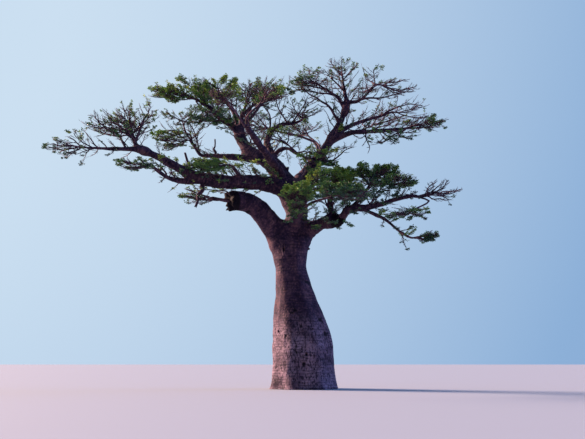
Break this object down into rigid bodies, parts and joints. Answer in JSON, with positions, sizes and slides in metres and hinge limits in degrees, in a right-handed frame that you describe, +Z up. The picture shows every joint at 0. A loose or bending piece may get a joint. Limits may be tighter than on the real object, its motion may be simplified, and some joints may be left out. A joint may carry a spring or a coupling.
{
  "type": "baobab tree",
  "caption": "Mature baobab tree: bottle-shaped trunk on a flared foot, forking into thick boughs that carry flat, open pads of twigs and leaves; one bough is snapped off.",
  "frame": {"origin": "middle of the flat cut under the trunk, at ground level", "axes": "+Z up along the trunk, +X to the right of the view in the picture, along the longest spread of the crown, +Y away from the viewer"},
  "size_m": [21.0174, 17.1303, 18.7572],
  "materials": {
    "bark": "smooth wrinkled grey-mauve baobab bark with flutes, pits and scars",
    "foliage": "matt green hand-shaped leaves in sprays on purple-brown twigs",
    "bare_twigs": "bare purple-brown twigs"
  },
  "bodies": {
    "root": {"trunk": "bark", "back_bough": "bark", "centre_bough": "bark", "crown_left_limb": "bark", "dome_limb": "bark", "dome_riser": "bark", "front_bough": "bark", "front_left_bough": "bark", "high_left_limb": "bark", "left_fan_limb": "bark", "long_left_bough": "bark", "lower_left_limb": "bark", "middle_limb": "bark", "middle_right_limb": "bark", "reaching_left_limb": "bark", "right_bough": "bark", "right_high_limb": "bark", "right_low_limb": "bark", "right_reach_bough": "bark", "right_shelf_limb": "bark", "right_upper_limb": "bark", "shelf_limb": "bark", "snapped_bough": "bark", "upper_left_bough": "bark", "upper_right_bough": "bark", "back_left_mass": "foliage", "back_mass": "foliage", "back_right_mass": "foliage", "centre_mass": "foliage", "crown_left_back_mass": "foliage", "crown_left_low_mass": "foliage", "crown_left_mass": "foliage", "crown_mid_left_mass": "foliage", "dome_left_mass": "foliage", "dome_mid_mass": "foliage", "dome_right_mass": "foliage", "far_left_mass": "foliage", "front_high_mass": "foliage", "front_left_mass": "foliage", "front_mass": "foliage", "front_right_mass": "foliage", "high_left_mass": "foliage", "high_right_mass": "foliage", "left_fan_mass": "foliage", "lower_left_mass": "foliage", "middle_high_mass": "foliage", "middle_low_mass": "foliage", "middle_right_mass": "foliage", "reaching_left_mass": "foliage", "right_drop_mass": "foliage", "right_far_mass": "foliage", "right_high_mass": "bare_twigs", "right_low_mass": "foliage", "right_shelf_mass": "foliage", "right_tip_mass": "bare_twigs", "right_upper_mass": "foliage", "saddle_mass": "foliage", "shelf_mass": "foliage", "stump_mass": "foliage", "top_mass": "foliage"}
  },
  "joints": []
}
